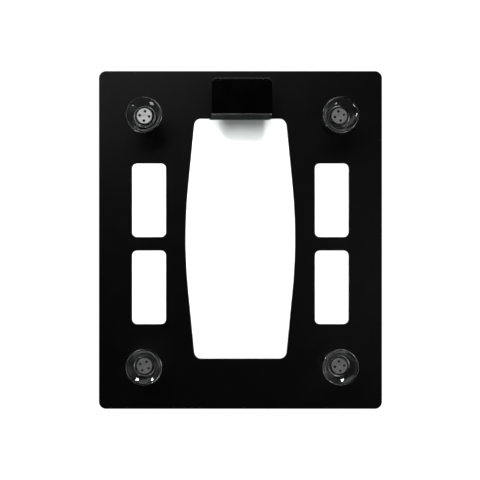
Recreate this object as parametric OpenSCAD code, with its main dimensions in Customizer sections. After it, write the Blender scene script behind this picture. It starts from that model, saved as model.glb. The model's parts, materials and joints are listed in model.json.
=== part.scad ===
// Digital bathroom scale: a tempered glass platform bonded to a shallow moulded tray with five
// see-through windows, four clear cup feet on load cells, and a display box below the toe end.
// +Z is up, +Y points to the display end, and the origin is on the floor under the middle.

/* [Platform] */
// Width of the platform
platform_w = 300; // [296:1:310]
// Length of the platform
platform_l = 358; // [354:1:370]
// Corner radius of the platform
corner_r = 7.5; // [5:0.5:12]
// Thickness of the tempered glass
glass_t = 6; // [5:0.5:8]
// How far the glass edge stands back from the tray's edge
glass_inset = 0.4; // [0.2:0.1:1]
// Thickness of the foam tape that bonds the glass
gasket_t = 1; // [0.8:0.1:1.5]
// How far the tape stands back from the glass edge
gasket_back = 0.8; // [0.5:0.1:1.5]
// How far the tape reaches past the window walls
gasket_over = 0.6; // [0:0.1:1]
// Height of the tray
tray_h = 8; // [8:0.5:10]
// Thickness of the tray's floor
floor_t = 2; // [1.6:0.1:2.5]
// Thickness of the tray's outer wall
wall_t = 3; // [2:0.5:4]

/* [Windows] */
// Half the width of the centre window at its waist
centre_half_w = 58.1; // [54:0.1:60]
// Half the length of the centre window
centre_half_l = 127.4; // [120:0.1:130]
// How far the centre window sits towards the display end
centre_y = 1.4; // [0:0.1:3]
// Radius of the bowed middle of the centre window's sides
centre_bow_r = 572; // [500:1:700]
// Half the length of the bowed stretch
centre_bow_half_l = 56; // [40:1:70]
// Corner radius of the centre window
centre_corner_r = 7.4; // [5:0.1:10]
// Width of a side window
side_w = 36; // [30:1:40]
// Length of a side window
side_l = 78; // [70:1:80]
// Corner radius of a side window
side_corner_r = 5.3; // [4:0.1:8]
// Distance from the centre line to the middle of a side window
side_x = 97; // [95:0.5:99]
// Middle of the front and rear side windows along Y
side_ys = [42.2, -50.3];
// How far the window walls stand back from the window's edge
lip_w = 4; // [3:0.5:5]
// Thickness of the window walls
window_wall_t = 2; // [1.6:0.2:2.4]

/* [Feet] */
// Height from the floor to the tray's underside
foot_h = 21; // [20:0.5:24]
// Distance from the centre line to a foot
foot_x = 99.1; // [95:0.1:105]
// Where the front feet stand along Y
foot_front_y = 125.8; // [120:0.1:128]
// Where the rear feet stand along Y
foot_rear_y = -128.4; // [-132:0.1:-120]
// Radius of the cup's lip
cup_r = 18.1; // [16:0.1:20]
// Radius of the perforated steel disc in the cup
disc_r = 7.7; // [7:0.1:8.5]
// Height of the disc's lower face
disc_z = 3.9; // [3.5:0.1:4.5]
// Radius of the circle that the disc's holes lie on
disc_holes_r = 4.8; // [4:0.1:5.2]
// Radius of a hole in the disc
disc_hole_r = 1.3; // [0.8:0.05:1.5]
// Radius of the foot's stud
stud_r = 3; // [2.5:0.1:3.5]
// How far a foot drops when the scale is lifted
foot_drop = 0.4; // [0.2:0.1:0.5]

/* [Load cells] */
// Side of the square load cell
cell_w = 32.4; // [30:0.2:34]
// Thickness of the load cell
cell_t = 2; // [1.6:0.1:2.2]

/* [Display box] */
// Width of the box
box_w = 62.4; // [61:0.2:64]
// Length of the box
box_l = 36.7; // [36:0.1:38]
// Depth of the box below the tray
box_h = 18; // [17.5:0.5:18.5]
// Middle of the box along Y
box_y = 146.05; // [145:0.05:147]
// Chamfer on the box's two outer corners
box_chamfer = 4; // [2:0.5:5]
// Wall thickness of the box
box_wall = 2; // [1.6:0.2:2.4]
// Thickness of the battery door
door_t = 2.4; // [2.4:0.1:3]
// Width of the unit button
button_w = 9; // [7:0.5:12]
// Height of the unit button
button_h = 2.2; // [1.8:0.1:2.4]

/* [Batteries] */
// Radius of a AAA cell
aaa_r = 5.25; // [5:0.05:5.25]
// Length of a AAA cell with its terminal
aaa_l = 44.5; // [43.3:0.1:44.5]

/* [Hidden] */
fine = 72;
small = 32;
gap = 0.3;
// How far a cutter reaches past a face, and how far joined solids reach into each other
over = 1;
bite = 0.5;
eps = 0.01;

// Heights
tray_z = foot_h;
deck_z = tray_z + floor_t;
gasket_z = tray_z + tray_h;
glass_z = gasket_z + gasket_t;
box_z = tray_z - box_h;

// Feet: [x, y, turn of the disc, side of the centre line]
toe_right = [foot_x, foot_front_y, 7, 1];
toe_left = [-foot_x, foot_front_y, -14, -1];
heel_right = [foot_x, foot_rear_y, 27, 1];
heel_left = [-foot_x, foot_rear_y, -9, -1];
FEET = [toe_right, toe_left, heel_right, heel_left];
disc_t = 1.7;
dimple_r = 1.1;
dimple_depth = 0.5;
web_t = 2.4;
web_z = disc_z + disc_t;
web_fit = 0.05;
ring_r = 9.5;
ring_w = 0.8;
flange_r = 6.4;
flange_t = 1.2;
flange_z = web_z + web_t;
cup_top_z = flange_z + flange_t + 0.2;
collar_z = cup_top_z + 0.4;
collar_r = 10.5;
collar_flange_r = 13;
collar_flange_t = 1.6;
bush_r = 4.8;
stud_fit = 0.06;
clip_z = deck_z + foot_drop + gap / 2;
clip_t = 0.7;
clip_r = 5.2;
groove_r = stud_r - 0.6;
groove_flat = 0.3;
stud_top = clip_z + clip_t + 0.45;
bearing_gap = 0.1;

// Load cell pocket
pocket_wall = 1.8;
pocket_w = cell_w + 2 * gap;
ledge_w = 2.6;
cell_z = stud_top + bearing_gap;
spacer_z = cell_z + cell_t;
tongue_w = 11;
slot_w = 2.5;
root_w = 3;
frame_w = 5;
gauge = [4, 6, 0.3];
gauge_x = 2.6;
gauge_y = 7;

// Leads from the cells to the board
lead_w = 3.2;
lead_t = 1.2;
lead_x = 68.5;
lead_start_x = foot_x - pocket_w / 2 + 0.4;
lead_bend_x = 74;
lead_in_y = 141;
front_row_dy = 2.2;
rear_row_dy = 5;
pad_x = 25;
notch_h = 6;

// Display block, board and display
door_inset = 0.15;
hinge_r = door_t / 2;
hinge_y = box_y + box_l / 2 - hinge_r;
hinge_z = box_z + hinge_r;
pin_r = 0.6;
pin_fit = 0.06;
pin_half_l = 24;
barrel_end = 0.8;
latch_w = 14;
latch_t = 1.2;
latch_grip = 2.2;
rib_x = 18;
rib_w = 1.2;
rib_l = 22;
ear_x = 23.4;
ear_w = 2.8;
shell_z = box_z + door_t + gap;
shelf_t = 1.2;
cell_gap = 0.2;
battery_z = shell_z + cell_gap + aaa_r;
shelf_z = battery_z + aaa_r + cell_gap;
battery_dy = aaa_r + gap;
terminal_r = 1.9;
terminal_h = 1.1;
block_w = 66;
block_y0 = 129.6;
block_y1 = 166;
board_w = 54;
board_l = 21.4;
board_t = 1.6;
board_y = 146.6;
board_z = deck_z - board_t;
bay_w = board_w + 1;
bay_l = board_l + 0.6;
lcd_w = 44;
lcd_l = 19;
lcd_t = 2;
lcd_z = gasket_z - lcd_t;
lcd_fit = 0.1;
strip_l = 34;
strip_w = 2;
view_w = 40;
view_l = 15;
bezel_w = 46;
bezel_l = 21;
screw_r = 1;
head_r = 1.7;
head_t = 1.3;
cross = [2.2, 0.5, 1.2];
screw_bite = 5;
housing_boss_r = 2.4;
board_boss_r = 2;
board_screw_bite = 2;
housing_screw_x = 25;
housing_screw_ys = [132, 160.2];
board_screw_x = 24.8;
board_screw_y = board_y + 8.6;
switch_y = box_y + box_l / 2 - box_wall - 5;
button_z = (shelf_z + shelf_t + tray_z) / 2;
button_travel = 0.6;
button_proud = 0.7;
button_flange = 1;
flange_over = 1.5;
plunger_w = 3;
plunger_h = 1.6;
switch_w = 6;
switch_l = 3.4;
switch_h = 2.8;
switch_tip = [2.4, 0.7, 1.4];

// Battery contacts
contact_w = 8.8;
contact_t = 0.4;
coil_wire_r = 0.4;
coil_r = 3.2;
coil_pitch = 0.62;
coil_narrowing = 0.25;
spring_depth = 2;
spring_x = -aaa_l / 2 - spring_depth - 0.05;
strip_h = 4;
wire_r = 0.6;
wire_gap = 0.2;
wire_points = [
  [spring_x - spring_depth - wire_r, box_y + battery_dy],
  [-aaa_l / 2 - contact_t - wire_r, box_y - battery_dy]
];

// ---- helpers ----

function arc(c, r, a0, a1, n) =
  [for (i = [0:n]) let (a = a0 + (a1 - a0) * i / n) [c[0] + r * cos(a), c[1] + r * sin(a)]];
function reversed(p) = [for (i = [len(p) - 1:-1:0]) p[i]];
function scaled(p, sx, sy) = [for (q = p) [q[0] * sx, q[1] * sy]];

// One quarter of the barrel outline: bowed side, straight taper, round corner
function barrel_quarter(g) =
  let (
    r = centre_bow_r + g,
    c = centre_half_w - centre_bow_r,
    a = asin(centre_bow_half_l / centre_bow_r),
    xa = c + r * cos(a),
    ya = r * sin(a),
    rc = centre_corner_r + g,
    yc = centre_half_l + g - rc,
    xc = xa - (rc + (yc - ya) * sin(a)) / cos(a)
  )
  concat(arc([c, 0], r, 0, a, 6), arc([xc, yc], rc, a, 90, 6));

module centre_window(g = 0) {
  q = barrel_quarter(g);
  translate([0, centre_y])
    polygon(concat(q, reversed(scaled(q, -1, 1)), scaled(q, -1, -1), reversed(scaled(q, 1, -1))));
}

module round_rect(w, l, r) {
  c = [w / 2 - r, l / 2 - r];
  polygon(concat(arc(c, r, 0, 90, 8), arc([-c[0], c[1]], r, 90, 180, 8),
                 arc(-c, r, 180, 270, 8), arc([c[0], -c[1]], r, 270, 360, 8)));
}

module side_windows(g = 0) {
  for (side = [-1, 1])
    for (y = side_ys)
      translate([side * side_x, y]) round_rect(side_w + 2 * g, side_l + 2 * g, side_corner_r + g);
}

module windows(g = 0) {
  centre_window(g);
  side_windows(g);
}

module platform_2d(inset = 0) {
  round_rect(platform_w - 2 * inset, platform_l - 2 * inset, corner_r - inset);
}

module slab(z, h) {
  translate([0, 0, z]) linear_extrude(h) children();
}

module at_foot(f) {
  translate([f[0], f[1], 0]) children();
}

module tube(z, h, r_out, r_in) {
  translate([0, 0, z])
    difference() {
      cylinder(h = h, r = r_out, $fn = fine);
      translate([0, 0, -eps]) cylinder(h = h + 2 * eps, r = r_in, $fn = fine);
    }
}

module box_2d(inset = 0) {
  w = box_w / 2 - inset;
  l = box_l / 2 - inset;
  c = box_chamfer - inset * (2 - sqrt(2));
  translate([0, box_y])
    polygon([[-w, -l], [w, -l], [w, l - c], [w - c, l], [c - w, l], [-w, l - c]]);
}

// Sideways unit vector of the line from a to b
function across(a, b) = let (d = (b - a) / norm(b - a)) [-d[1], d[0]];

// Point i of a line of points, moved sideways by h and mitred where the line turns
function beside(p, i, h) =
  let (
    n1 = across(p[max(i - 1, 0)], p[max(i, 1)]),
    n2 = across(p[min(i, len(p) - 2)], p[min(i + 1, len(p) - 1)]),
    m = (n1 + n2) / norm(n1 + n2)
  )
  p[i] + m * h / (m * n1);

// A flat lead along a line of points, on the tray's floor
module lead_path(p, side) {
  edge = [for (i = [0:len(p) - 1]) beside(p, i, lead_w / 2)];
  other = [for (i = [len(p) - 1:-1:0]) beside(p, i, -lead_w / 2)];
  slab(deck_z, lead_t) polygon(scaled(concat(edge, other), side, 1));
}

// ---- platform ----

// Tempered glass that a person stands on
module glass_platform() {
  color([0.80, 0.90, 0.88, 0.35]) slab(glass_z, glass_t) platform_2d(glass_inset);
}

// Foam tape between the tray and the glass
module bonding_gasket() {
  color([0.07, 0.07, 0.08])
    slab(gasket_z, gasket_t)
      difference() {
        platform_2d(glass_inset + gasket_back);
        windows(lip_w - gasket_over);
        translate([0, board_y]) square([bezel_w + gap, bezel_l + gap], center = true);
      }
}

// A square ring of the given outer and inner sides
module square_ring(w_out, w_in) {
  difference() {
    square([w_out, w_out], center = true);
    square([w_in, w_in], center = true);
  }
}

// Moulded tray: floor, walls and pockets in one piece
module tray() {
  color([0.05, 0.05, 0.055])
    difference() {
      union() {
        slab(tray_z, floor_t) difference() { platform_2d(); windows(); }
        slab(deck_z - eps, tray_h - floor_t + eps) tray_walls_2d();
        for (f = FEET)
          at_foot(f) slab(deck_z - eps, cell_z - deck_z + eps)
            square_ring(pocket_w + 2 * bite, pocket_w - 2 * ledge_w);
      }
      tray_cuts();
    }
}

// Outer wall, window walls, cell pockets and the block round the display
module tray_walls_2d() {
  difference() { platform_2d(); platform_2d(wall_t); }
  difference() {
    union() {
      windows(lip_w + window_wall_t);
      translate([-block_w / 2, block_y0]) square([block_w, block_y1 - block_y0]);
    }
    windows(lip_w);
  }
  for (f = FEET)
    at_foot(f) square_ring(pocket_w + 2 * pocket_wall, pocket_w);
}

// Bores for the bushes and screws, the display's opening, and notches for the leads
module tray_cuts() {
  for (f = FEET) {
    at_foot(f) translate([0, 0, tray_z - over]) cylinder(h = floor_t + 2 * over, r = bush_r, $fn = fine);
    notch_x = f[3] * (foot_x - pocket_w / 2 - pocket_wall / 2);
    notch_y = f[1] > 0 ? lead_in_y - 2 : f[1] + rear_row_dy;
    translate([notch_x, notch_y, deck_z + notch_h / 2])
      cube([pocket_wall + 2 * ledge_w + over, lead_w + over, notch_h], center = true);
    translate([f[3] * block_w / 2, lead_in_y, deck_z + notch_h / 2])
      cube([14, 2 * lead_w + 3 * over, notch_h], center = true);
  }
  translate([0, board_y, tray_z + tray_h / 2]) cube([bay_w, bay_l, tray_h + 2], center = true);
  for (x = [-1, 1])
    for (y = housing_screw_ys)
      translate([x * housing_screw_x, y, tray_z - over])
        cylinder(h = screw_bite + 2 * over, r = screw_r, $fn = small);
}

// ---- feet ----

// Clear cup: flat lip, domed recess, raised ring round the disc, and a web that the stud clamps
module foot_cup(f) {
  color([0.86, 0.89, 0.90, 0.4])
    at_foot(f)
      rotate_extrude($fn = fine)
        polygon(concat(
          [[stud_r + web_fit, web_z], [ring_r - ring_w, web_z], [ring_r - ring_w, disc_z],
           [ring_r, disc_z]],
          [for (i = [0:6]) let (t = i / 6) [ring_r + 0.3 + t * 7, 4.5 - 1.4 * t - 2.8 * t * t]],
          [[cup_r - 1.1, 0], [cup_r - 0.3, 0], [cup_r, 0.3], [cup_r, 0.9], [cup_r - 0.5, 1.6]],
          [for (i = [0:5]) let (t = i / 5) [cup_r - 1 - 6.1 * t, 2 + 5.2 * t - 0.9 * t * t]],
          [[collar_r, web_z + 1.4], [collar_r, cup_top_z - 0.3], [collar_r - 0.6, cup_top_z],
           [flange_r + gap, cup_top_z], [flange_r + gap, flange_z], [stud_r + web_fit, flange_z]]));
}

// Steel disc under the stud, with four holes and a dimple
module foot_disc(f) {
  color([0.72, 0.73, 0.74])
    at_foot(f) rotate(f[2])
      difference() {
        rotate_extrude($fn = fine)
          polygon([[0, disc_z], [disc_r - 0.4, disc_z], [disc_r, disc_z + 0.4],
                   [disc_r, web_z], [0, web_z]]);
        for (a = [0:90:270])
          rotate(a) translate([disc_holes_r, 0, disc_z - over])
            cylinder(h = disc_t + 2 * over, r = disc_hole_r, $fn = small);
        translate([0, 0, disc_z - over]) cylinder(h = over + dimple_depth, r = dimple_r, $fn = small);
      }
}

// Stud with a clamping flange, a clip groove and a chamfered tip under the load cell's tongue
module foot_stud(f) {
  color([0.66, 0.67, 0.68])
    at_foot(f)
      rotate_extrude($fn = fine)
        polygon([[0, web_z], [stud_r, web_z], [stud_r, flange_z], [flange_r, flange_z],
                 [flange_r, flange_z + flange_t], [stud_r, flange_z + flange_t], [stud_r, clip_z],
                 [groove_r, clip_z], [groove_r, clip_z + clip_t], [stud_r, clip_z + clip_t],
                 [stud_r, stud_top - 0.3], [stud_r - 0.8, stud_top], [0, stud_top]]);
}

// Open retaining clip in the stud's groove, above the tray's floor
module foot_clip(f) {
  color([0.5, 0.5, 0.5])
    at_foot(f)
      difference() {
        tube(clip_z, clip_t, clip_r, groove_r);
        translate([0, clip_r, clip_z + clip_t / 2])
          cube([2 * (groove_r - groove_flat), 2 * clip_r, clip_t + over], center = true);
      }
}

// Black collars moulded round the bushes under the tray
module foot_collars() {
  color([0.05, 0.05, 0.055])
    for (f = FEET)
      at_foot(f)
        rotate_extrude($fn = fine)
          polygon([[bush_r, collar_z], [collar_r - 0.8, collar_z], [collar_r, collar_z + 0.8],
                   [collar_r, tray_z - collar_flange_t - 1], [collar_r + 1, tray_z - collar_flange_t],
                   [collar_flange_r, tray_z - collar_flange_t], [collar_flange_r, tray_z],
                   [bush_r, tray_z]]);
}

// Nylon bushes that guide the studs
module foot_bushes() {
  color([0.85, 0.84, 0.80])
    for (f = FEET) at_foot(f) tube(collar_z, deck_z - collar_z, bush_r, stud_r + stud_fit);
}

// ---- load cells ----

// Stamped half-bridge cell: an outer frame and a tongue that the stud pushes up
module load_cell(f) {
  inner = cell_w - 2 * frame_w;
  color([0.62, 0.63, 0.65])
    at_foot(f)
      slab(cell_z, cell_t)
        difference() {
          square([cell_w, cell_w], center = true);
          difference() {
            square([inner, inner], center = true);
            translate([-tongue_w / 2, slot_w - inner / 2]) square([tongue_w, inner]);
            translate([-inner / 2, inner / 2 - root_w]) square([inner, root_w + over]);
          }
        }
}

// Spacers that press the cells' frames against the glass
module cell_spacers() {
  color([0.2, 0.2, 0.21])
    for (f = FEET)
      at_foot(f) slab(spacer_z, gasket_z - spacer_z) square_ring(cell_w, cell_w - 2 * frame_w + over);
}

// Two foil gauges on each tongue's root
module strain_gauges() {
  color([0.80, 0.55, 0.20])
    for (f = FEET)
      for (x = [-1, 1])
        at_foot(f) translate([x * gauge_x - gauge[0] / 2, gauge_y - gauge[1] / 2, spacer_z])
          cube(gauge);
}

// A front lead runs straight in from its pocket to the board's front row of pads
module front_lead(f) {
  row_y = lead_in_y + front_row_dy;
  color([0.16, 0.16, 0.17])
    lead_path([[lead_start_x, lead_in_y - 2], [lead_bend_x, lead_in_y - 2], [lead_bend_x - 4, row_y],
               [pad_x, row_y]], f[3]);
}

// A rear lead runs forwards between the windows to the rear row of pads
module rear_lead(f) {
  pocket_y = foot_rear_y + rear_row_dy;
  row_y = lead_in_y - front_row_dy;
  color([0.16, 0.16, 0.17])
    lead_path([[lead_start_x, pocket_y], [lead_bend_x, pocket_y], [lead_x, pocket_y + 6],
               [lead_x, row_y - 12.8], [lead_x - 6.5, row_y], [pad_x, row_y]], f[3]);
}

// ---- display box ----

// Box shell with a shelf over the cells, screw bosses and hinge ears
module display_housing() {
  color([0.03, 0.03, 0.033])
    difference() {
      union() {
        slab(shell_z, tray_z - shell_z) difference() { box_2d(); box_2d(box_wall); }
        slab(shelf_z, shelf_t) box_2d(box_wall - bite);
        for (x = [-1, 1]) {
          for (y = housing_screw_ys)
            translate([x * housing_screw_x, y, shelf_z])
              cylinder(h = tray_z - shelf_z, r = housing_boss_r, $fn = small);
          translate([x * board_screw_x, board_screw_y, shelf_z])
            cylinder(h = board_z - shelf_z, r = board_boss_r, $fn = small);
          hinge_ear(x);
        }
      }
      for (x = [-1, 1]) {
        for (y = housing_screw_ys)
          translate([x * housing_screw_x, y, shelf_z - over])
            cylinder(h = box_h, r = screw_r, $fn = small);
        translate([x * board_screw_x, board_screw_y, shelf_z + shelf_t])
          cylinder(h = box_h, r = screw_r, $fn = small);
        translate([x * ear_x, hinge_y, hinge_z]) rotate([0, 90, 0])
          cylinder(h = ear_w + 2 * over, r = pin_r, center = true, $fn = small);
      }
      // slot for the button, open at the top against the tray, and holes for the battery wires
      translate([-button_w / 2 - gap, box_y + box_l / 2 - box_wall - bite, button_z - button_h / 2 - gap])
        cube([button_w + 2 * gap, box_wall + 2 * bite, tray_z - button_z + button_h]);
      for (p = wire_points)
        translate([p[0], p[1], shelf_z - over])
          cylinder(h = shelf_t + 2 * over, r = wire_r + wire_gap, $fn = 24);
    }
}

// An ear that comes down beside the door's barrel and holds the pin
module hinge_ear(side) {
  translate([side * ear_x - ear_w / 2, hinge_y - hinge_r, hinge_z])
    cube([ear_w, 2 * hinge_r, shell_z - hinge_z + over]);
  translate([side * ear_x, hinge_y, hinge_z]) rotate([0, 90, 0])
    cylinder(h = ear_w, r = hinge_r, center = true, $fn = small);
}

// Door with a hinge barrel, a latch tongue and two stiffening ribs
module battery_door() {
  barrel_l = 2 * (box_w / 2 - box_chamfer + barrel_end);
  color([0.025, 0.025, 0.028])
    difference() {
      union() {
        intersection() {
          slab(box_z, door_t) box_2d(door_inset);
          translate([-box_w / 2, 0, box_z - over]) cube([box_w, hinge_y, door_t + 2 * over]);
        }
        translate([0, hinge_y, hinge_z]) rotate([0, 90, 0])
          cylinder(h = barrel_l, r = hinge_r, center = true, $fn = 48);
        translate([-latch_w / 2, box_y - box_l / 2 + box_wall + bite, hinge_z])
          cube([latch_w, latch_t, shell_z - hinge_z + latch_grip]);
        for (x = [-rib_x, rib_x])
          translate([x - rib_w / 2, box_y - 12, hinge_z]) cube([rib_w, rib_l, hinge_r + 0.1]);
      }
      for (x = [-1, 1])
        translate([x * ear_x, hinge_y, hinge_z])
          cube([ear_w + 2 * gap, 2 * hinge_r + 2 * gap, 4], center = true);
      translate([0, hinge_y, hinge_z]) rotate([0, 90, 0])
        cylinder(h = box_w, r = pin_r + pin_fit, center = true, $fn = small);
    }
}

// Steel pin through the door's barrel and the housing's ears
module door_pin() {
  color([0.7, 0.7, 0.72])
    translate([0, hinge_y, hinge_z]) rotate([0, 90, 0])
      cylinder(h = 2 * pin_half_l, r = pin_r, center = true, $fn = small);
}

// A cross-head screw whose head lies under height z and whose shank reaches l above it
module screw(z, l) {
  translate([0, 0, z]) cylinder(h = l, r = screw_r, $fn = small);
  difference() {
    translate([0, 0, z - head_t]) cylinder(h = head_t, r = head_r, $fn = small);
    for (a = [0, 90])
      translate([0, 0, z - head_t]) rotate(a) cube(cross, center = true);
  }
}

module housing_screws() {
  color([0.3, 0.3, 0.31])
    for (x = [-1, 1])
      for (y = housing_screw_ys)
        translate([x * housing_screw_x, y, 0]) screw(shelf_z, tray_z + screw_bite - shelf_z);
}

// ---- power ----

// A AAA cell along X with its positive terminal at +X
module aaa_cell() {
  half = aaa_l / 2;
  face = half - terminal_h;
  edge = 0.5;
  rotate([0, 90, 0])
    rotate_extrude($fn = fine)
      polygon([[0, -half], [aaa_r - edge, -half], [aaa_r, edge - half], [aaa_r, face - edge],
               [aaa_r - edge, face], [terminal_r, face], [terminal_r, half], [0, half]]);
}

module battery_front() {
  color([0.75, 0.68, 0.35]) translate([0, box_y + battery_dy, battery_z]) aaa_cell();
}

module battery_rear() {
  color([0.75, 0.68, 0.35]) translate([0, box_y - battery_dy, battery_z]) rotate(180) aaa_cell();
}

// Two coil springs, each drawn as three touching turns that narrow to the cell, with a backing plate
module battery_springs() {
  color([0.78, 0.78, 0.80])
    for (s = [-1, 1])
      translate([s * spring_x, box_y + s * battery_dy, battery_z]) rotate([0, s * 90, 0]) {
        for (i = [0:2])
          translate([0, 0, coil_wire_r + i * coil_pitch])
            rotate_extrude($fn = small)
              translate([coil_r - i * coil_narrowing, 0]) circle(r = coil_wire_r, $fn = 16);
        translate([-contact_w / 2, -contact_w / 2, -spring_depth])
          cube([contact_w, contact_w, contact_t]);
        translate([-0.5, 2.6, contact_t / 2 - spring_depth]) cube([1, 1, spring_depth + 0.2]);
      }
}

// Flat plates on the cells' positive ends, and the strip that joins the two cells in series
module battery_plates() {
  strip_y = box_y - battery_dy + contact_w / 2 - contact_t;
  color([0.78, 0.78, 0.80]) {
    for (s = [-1, 1])
      translate([s * (aaa_l + contact_t) / 2, box_y + s * battery_dy, battery_z])
        cube([contact_t, contact_w, contact_w], center = true);
    translate([aaa_l / 2, strip_y, battery_z - strip_h / 2]) cube([contact_t, battery_dy, strip_h]);
    translate([aaa_l / 2, strip_y, battery_z - strip_h / 2])
      cube([spring_depth - contact_t - spring_x - aaa_l / 2, contact_t, strip_h]);
  }
}

// Two wires from the cells' contacts up to the board
module battery_wires() {
  color([0.6, 0.08, 0.06])
    for (p = wire_points)
      translate([p[0], p[1], battery_z]) cylinder(h = board_z - battery_z, r = wire_r, $fn = 24);
}

// ---- electronics ----

// Board in the tray's bay, screwed to the housing's inner bosses
module circuit_board() {
  color([0.05, 0.30, 0.14])
    difference() {
      translate([0, board_y, board_z + board_t / 2]) cube([board_w, board_l, board_t], center = true);
      for (x = [-1, 1])
        translate([x * board_screw_x, board_screw_y, board_z - over])
          cylinder(h = board_t + 2 * over, r = screw_r + 0.1, $fn = small);
    }
}

module board_screws() {
  color([0.72, 0.72, 0.74])
    for (x = [-1, 1])
      translate([x * board_screw_x, board_screw_y, 0])
        mirror([0, 0, 1]) screw(-deck_z, board_t + board_screw_bite);
}

// Controller, crystal and capacitors under the board
module board_parts() {
  color([0.08, 0.08, 0.09]) {
    translate([-7, board_y - 4, board_z - 1.2]) cube([8, 8, 1.2]);
    translate([6, board_y - 3, board_z - 1.6]) cube([5, 2.4, 1.6]);
    for (i = [0:3])
      translate([13 + i * 2, board_y - 7 + 2 * i, board_z - 0.8]) cube([1.2, 2, 0.8]);
    translate([-15, board_y + 3, board_z - 2.4]) cylinder(h = 2.4, r = 2.2, $fn = small);
  }
}

// Side-acting switch that changes the units
module unit_switch() {
  color([0.15, 0.15, 0.16]) {
    translate([-switch_w / 2, switch_y - switch_l, board_z - switch_h])
      cube([switch_w, switch_l, switch_h]);
    translate([-switch_tip[0] / 2, switch_y, button_z - switch_tip[2] / 2]) cube(switch_tip);
  }
}

// Button with a flange behind the wall and a plunger towards the switch
module unit_button() {
  face_y = box_y + box_l / 2 + button_proud;
  flange_y = box_y + box_l / 2 - box_wall - button_flange;
  tip_y = switch_y + switch_tip[1] + button_travel + gap;
  low_z = button_z - button_h / 2;
  color([0.06, 0.06, 0.065]) {
    translate([-button_w / 2, flange_y, low_z]) cube([button_w, face_y - flange_y, button_h]);
    translate([-button_w / 2 - flange_over, flange_y, low_z])
      cube([button_w + 2 * flange_over, button_flange, button_h]);
    translate([-plunger_w / 2, tip_y, button_z - plunger_h / 2])
      cube([plunger_w, flange_y - tip_y + eps, plunger_h]);
  }
}

// Frame that seats the display over the board
module lcd_holder() {
  color([0.85, 0.85, 0.83])
    difference() {
      slab(deck_z, gasket_z - deck_z) translate([0, board_y]) square([bezel_w, bezel_l], center = true);
      slab(deck_z - over, tray_h) translate([0, board_y]) square([view_w, lcd_l - 3], center = true);
      slab(lcd_z, tray_h) translate([0, board_y]) square([lcd_w, lcd_l], center = true);
    }
}

// Rubber strips that join the board's pads to the display's edges
module contact_strips() {
  color([0.75, 0.45, 0.55])
    for (dy = [-1, 1])
      translate([0, board_y + dy * (lcd_l / 2 - 2.7), (deck_z + lcd_z) / 2])
        cube([strip_l, strip_w, lcd_z - deck_z], center = true);
}

module lcd_panel() {
  color([0.62, 0.68, 0.60])
    translate([0, board_y, lcd_z + lcd_t / 2])
      cube([lcd_w - 2 * lcd_fit, lcd_l - 2 * lcd_fit, lcd_t], center = true);
}

// Black mask between the display and the glass
module lcd_bezel() {
  color([0.10, 0.10, 0.11])
    slab(gasket_z, gasket_t)
      translate([0, board_y])
        difference() {
          square([bezel_w, bezel_l], center = true);
          square([view_w, view_l], center = true);
        }
}

glass_platform();
bonding_gasket();
tray();
foot_cup(toe_right);  // cup_toe_right
foot_cup(toe_left);  // cup_toe_left
foot_cup(heel_right);  // cup_heel_right
foot_cup(heel_left);  // cup_heel_left
foot_disc(toe_right);  // disc_toe_right
foot_disc(toe_left);  // disc_toe_left
foot_disc(heel_right);  // disc_heel_right
foot_disc(heel_left);  // disc_heel_left
foot_stud(toe_right);  // stud_toe_right
foot_stud(toe_left);  // stud_toe_left
foot_stud(heel_right);  // stud_heel_right
foot_stud(heel_left);  // stud_heel_left
foot_clip(toe_right);  // clip_toe_right
foot_clip(toe_left);  // clip_toe_left
foot_clip(heel_right);  // clip_heel_right
foot_clip(heel_left);  // clip_heel_left
foot_collars();
foot_bushes();
load_cell(toe_right);  // cell_toe_right
load_cell(toe_left);  // cell_toe_left
load_cell(heel_right);  // cell_heel_right
load_cell(heel_left);  // cell_heel_left
cell_spacers();
strain_gauges();
front_lead(toe_right);  // lead_toe_right
front_lead(toe_left);  // lead_toe_left
rear_lead(heel_right);  // lead_heel_right
rear_lead(heel_left);  // lead_heel_left
display_housing();
battery_door();
door_pin();
housing_screws();
battery_front();
battery_rear();
battery_springs();
battery_plates();
battery_wires();
circuit_board();
board_screws();
board_parts();
unit_switch();
unit_button();
lcd_holder();
contact_strips();
lcd_panel();
lcd_bezel();
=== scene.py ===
# Digital bathroom scale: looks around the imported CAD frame. Metres, +Z up, +Y towards the display end.
import json
import math

import bmesh
import bpy
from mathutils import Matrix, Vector
from mathutils.geometry import tessellate_polygon

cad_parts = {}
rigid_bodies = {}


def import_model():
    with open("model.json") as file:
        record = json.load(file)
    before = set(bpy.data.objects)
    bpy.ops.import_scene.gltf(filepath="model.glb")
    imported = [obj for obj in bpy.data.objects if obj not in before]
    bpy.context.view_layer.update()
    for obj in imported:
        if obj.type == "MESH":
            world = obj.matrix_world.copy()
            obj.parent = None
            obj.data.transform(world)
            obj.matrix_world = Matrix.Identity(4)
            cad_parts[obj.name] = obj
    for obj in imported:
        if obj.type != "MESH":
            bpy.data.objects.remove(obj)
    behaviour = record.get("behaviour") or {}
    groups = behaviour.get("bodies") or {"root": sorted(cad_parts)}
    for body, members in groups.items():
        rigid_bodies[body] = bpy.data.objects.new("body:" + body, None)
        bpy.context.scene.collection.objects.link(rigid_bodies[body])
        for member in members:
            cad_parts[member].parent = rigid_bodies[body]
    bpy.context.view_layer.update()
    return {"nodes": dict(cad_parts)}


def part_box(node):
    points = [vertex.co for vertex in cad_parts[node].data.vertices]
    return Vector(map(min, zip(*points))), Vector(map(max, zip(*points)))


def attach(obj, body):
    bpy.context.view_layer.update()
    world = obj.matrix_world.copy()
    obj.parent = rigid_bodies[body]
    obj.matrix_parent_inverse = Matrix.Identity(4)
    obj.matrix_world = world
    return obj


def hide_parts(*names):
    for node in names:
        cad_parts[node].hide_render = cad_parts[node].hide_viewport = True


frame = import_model()
nodes = frame["nodes"]
scene = bpy.context.scene

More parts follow.
